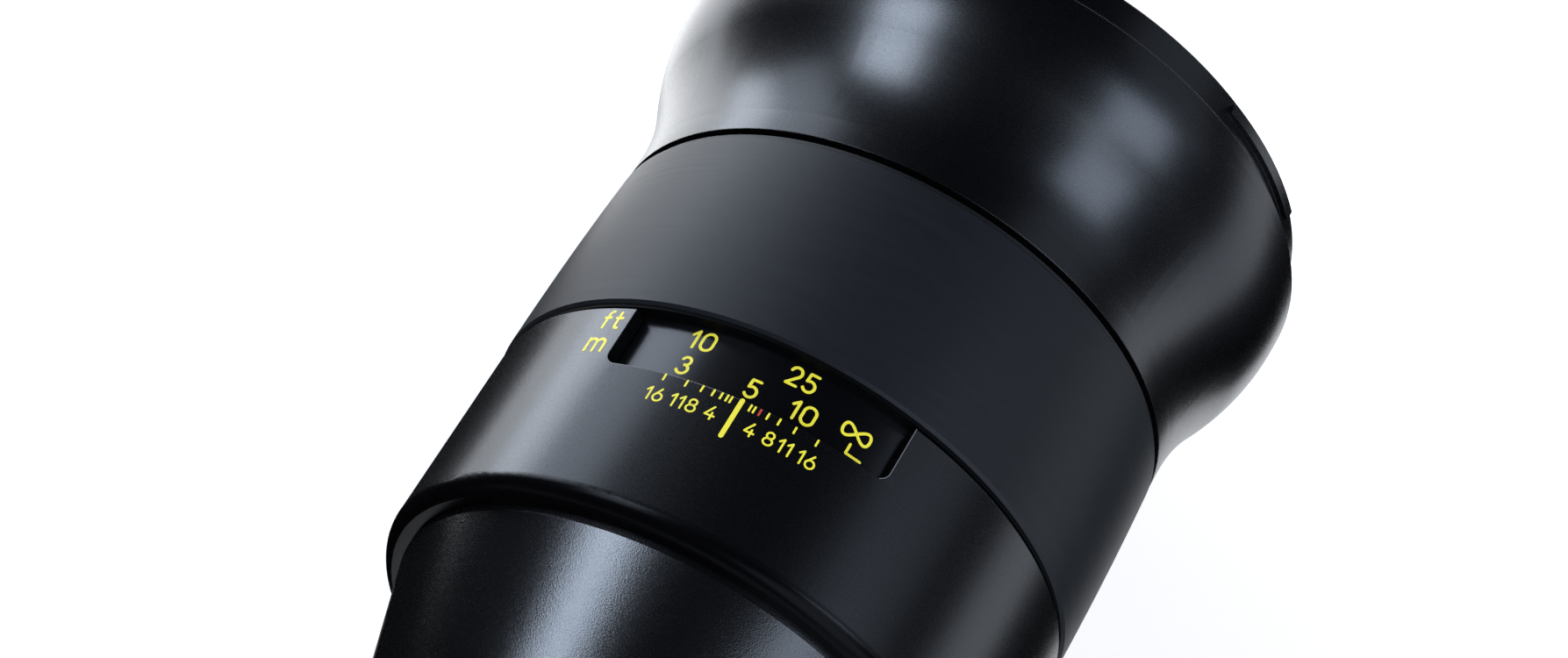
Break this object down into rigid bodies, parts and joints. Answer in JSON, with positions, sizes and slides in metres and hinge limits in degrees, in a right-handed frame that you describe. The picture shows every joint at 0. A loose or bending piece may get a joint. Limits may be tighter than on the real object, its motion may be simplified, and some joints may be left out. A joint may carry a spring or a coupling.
{
  "type": "prime lens",
  "caption": "Fast fixed-focal-length camera lens with a smooth rubber focus ring, a distance scale in a barrel cut-out, a flared front and a bladed iris.",
  "frame": {"origin": "centre of the lens mount's flange face, on the optical axis", "axes": "-Y along the optical axis to the front of the lens, +Z to the index line and scale window, focused at 5 m"},
  "size_m": [0.0924, 0.1328, 0.0924],
  "materials": {
    "satin_black": "satin black anodised, fine turned texture",
    "grained_black": "black anodised, bead blasted grain",
    "inner_black": "matt black anodised",
    "grip_rubber": "smooth matt rubber",
    "mount_metal": "turned and chromed",
    "screw_steel": "plain steel",
    "black_screw": "blackened steel",
    "contact_plastic": "moulded black",
    "contact_gold": "gold plated",
    "board": "lacquered circuit board",
    "key_brass": "turned brass",
    "blade_steel": "blackened spring steel",
    "lens_glass": "polished, coated"
  },
  "bodies": {
    "root": {"mount_bayonet": "mount_metal", "mount_screws": "screw_steel", "contact_block": "contact_plastic", "contact_pins": "contact_gold", "rear_baffle": "inner_black", "rear_barrel": "grained_black", "circuit_board": "board", "scale_barrel": "satin_black", "guide_tube": "inner_black", "barrel_screws": "black_screw", "cam_retaining_ring": "inner_black", "focus_stop": "key_brass"},
    "focus": {"focus_ring": "satin_black", "rubber_grip": "grip_rubber", "distance_scale_ring": "satin_black", "cam_tube": "inner_black", "focus_screws": "black_screw", "stop_lug": "key_brass"},
    "optics": {"front_barrel": "satin_black", "front_screws": "black_screw", "hood_ring": "satin_black", "front_bezel": "inner_black", "lens_tube": "inner_black", "guide_keys": "key_brass", "front_cell": "inner_black", "rear_cell": "inner_black", "iris_base": "inner_black", "iris_cover": "inner_black", "iris_clip": "black_screw", "iris_motor": "screw_steel", "glass_1": "lens_glass", "glass_2": "lens_glass", "glass_3": "lens_glass", "glass_4": "lens_glass", "glass_5": "lens_glass", "glass_6": "lens_glass", "glass_7": "lens_glass", "glass_8": "lens_glass", "glass_9": "lens_glass", "glass_10": "lens_glass", "glass_11": "lens_glass", "glass_12": "lens_glass", "retaining_ring_1": "inner_black", "retaining_ring_2": "inner_black", "retaining_ring_3": "inner_black", "retaining_ring_4": "inner_black", "retaining_ring_5": "inner_black", "spacer_1": "inner_black", "spacer_2": "inner_black"},
    "iris_ring": {"iris_cam_ring": "inner_black"},
    "pinion": {"iris_pinion": "key_brass"},
    "blade_1": {"iris_blade_1": "blade_steel"},
    "blade_2": {"iris_blade_2": "blade_steel"},
    "blade_3": {"iris_blade_3": "blade_steel"},
    "blade_4": {"iris_blade_4": "blade_steel"},
    "blade_5": {"iris_blade_5": "blade_steel"},
    "blade_6": {"iris_blade_6": "blade_steel"},
    "blade_7": {"iris_blade_7": "blade_steel"},
    "blade_8": {"iris_blade_8": "blade_steel"},
    "blade_9": {"iris_blade_9": "blade_steel"}
  },
  "joints": [
    {"name": "focus_turn", "type": "hinge", "parent": "root", "child": "focus", "pos_m": [0, -0.07, 0], "axis": [0, -1, 0], "range_deg": [-18.9, 229.1]},
    {"name": "focus_slide", "type": "slide", "parent": "root", "child": "optics", "axis": [0, -1, 0], "range_m": [-0.00063, 0.00757]},
    {"name": "iris_turn", "type": "hinge", "parent": "optics", "child": "iris_ring", "pos_m": [0, -0.06463, 0], "axis": [0, -1, 0], "range_deg": [0, 30]},
    {"name": "pinion_turn", "type": "hinge", "parent": "optics", "child": "pinion", "pos_m": [-0.02312, -0.06263, 0.01335], "axis": [0, -1, 0], "range_deg": [-0.5, 475.5]},
    {"name": "blade_1_turn", "type": "hinge", "parent": "optics", "child": "blade_1", "pos_m": [0, -0.06763, 0.0246], "axis": [0, -1, 0], "range_deg": [-0.1, 39.1]},
    {"name": "blade_2_turn", "type": "hinge", "parent": "optics", "child": "blade_2", "pos_m": [-0.01581, -0.06763, 0.01885], "axis": [0, -1, 0], "range_deg": [-0.1, 39.1]},
    {"name": "blade_3_turn", "type": "hinge", "parent": "optics", "child": "blade_3", "pos_m": [-0.02423, -0.06763, 0.00427], "axis": [0, -1, 0], "range_deg": [-0.1, 39.1]},
    {"name": "blade_4_turn", "type": "hinge", "parent": "optics", "child": "blade_4", "pos_m": [-0.0213, -0.06763, -0.0123], "axis": [0, -1, 0], "range_deg": [-0.1, 39.1]},
    {"name": "blade_5_turn", "type": "hinge", "parent": "optics", "child": "blade_5", "pos_m": [-0.00841, -0.06763, -0.02312], "axis": [0, -1, 0], "range_deg": [-0.1, 39.1]},
    {"name": "blade_6_turn", "type": "hinge", "parent": "optics", "child": "blade_6", "pos_m": [0.00841, -0.06763, -0.02312], "axis": [0, -1, 0], "range_deg": [-0.1, 39.1]},
    {"name": "blade_7_turn", "type": "hinge", "parent": "optics", "child": "blade_7", "pos_m": [0.0213, -0.06763, -0.0123], "axis": [0, -1, 0], "range_deg": [-0.1, 39.1]},
    {"name": "blade_8_turn", "type": "hinge", "parent": "optics", "child": "blade_8", "pos_m": [0.02423, -0.06763, 0.00427], "axis": [0, -1, 0], "range_deg": [-0.1, 39.1]},
    {"name": "blade_9_turn", "type": "hinge", "parent": "optics", "child": "blade_9", "pos_m": [0.01581, -0.06763, 0.01885], "axis": [0, -1, 0], "range_deg": [-0.1, 39.1]}
  ],
  "couplings": [
    {"joint": "focus_slide", "follows": "focus_turn", "m_per_rad": 0.0018939},
    {"joint": "pinion_turn", "follows": "iris_turn", "ratio": 15.833},
    {"joint": "blade_1_turn", "follows": "iris_turn", "ratio": 1.3},
    {"joint": "blade_2_turn", "follows": "iris_turn", "ratio": 1.3},
    {"joint": "blade_3_turn", "follows": "iris_turn", "ratio": 1.3},
    {"joint": "blade_4_turn", "follows": "iris_turn", "ratio": 1.3},
    {"joint": "blade_5_turn", "follows": "iris_turn", "ratio": 1.3},
    {"joint": "blade_6_turn", "follows": "iris_turn", "ratio": 1.3},
    {"joint": "blade_7_turn", "follows": "iris_turn", "ratio": 1.3},
    {"joint": "blade_8_turn", "follows": "iris_turn", "ratio": 1.3},
    {"joint": "blade_9_turn", "follows": "iris_turn", "ratio": 1.3}
  ]
}
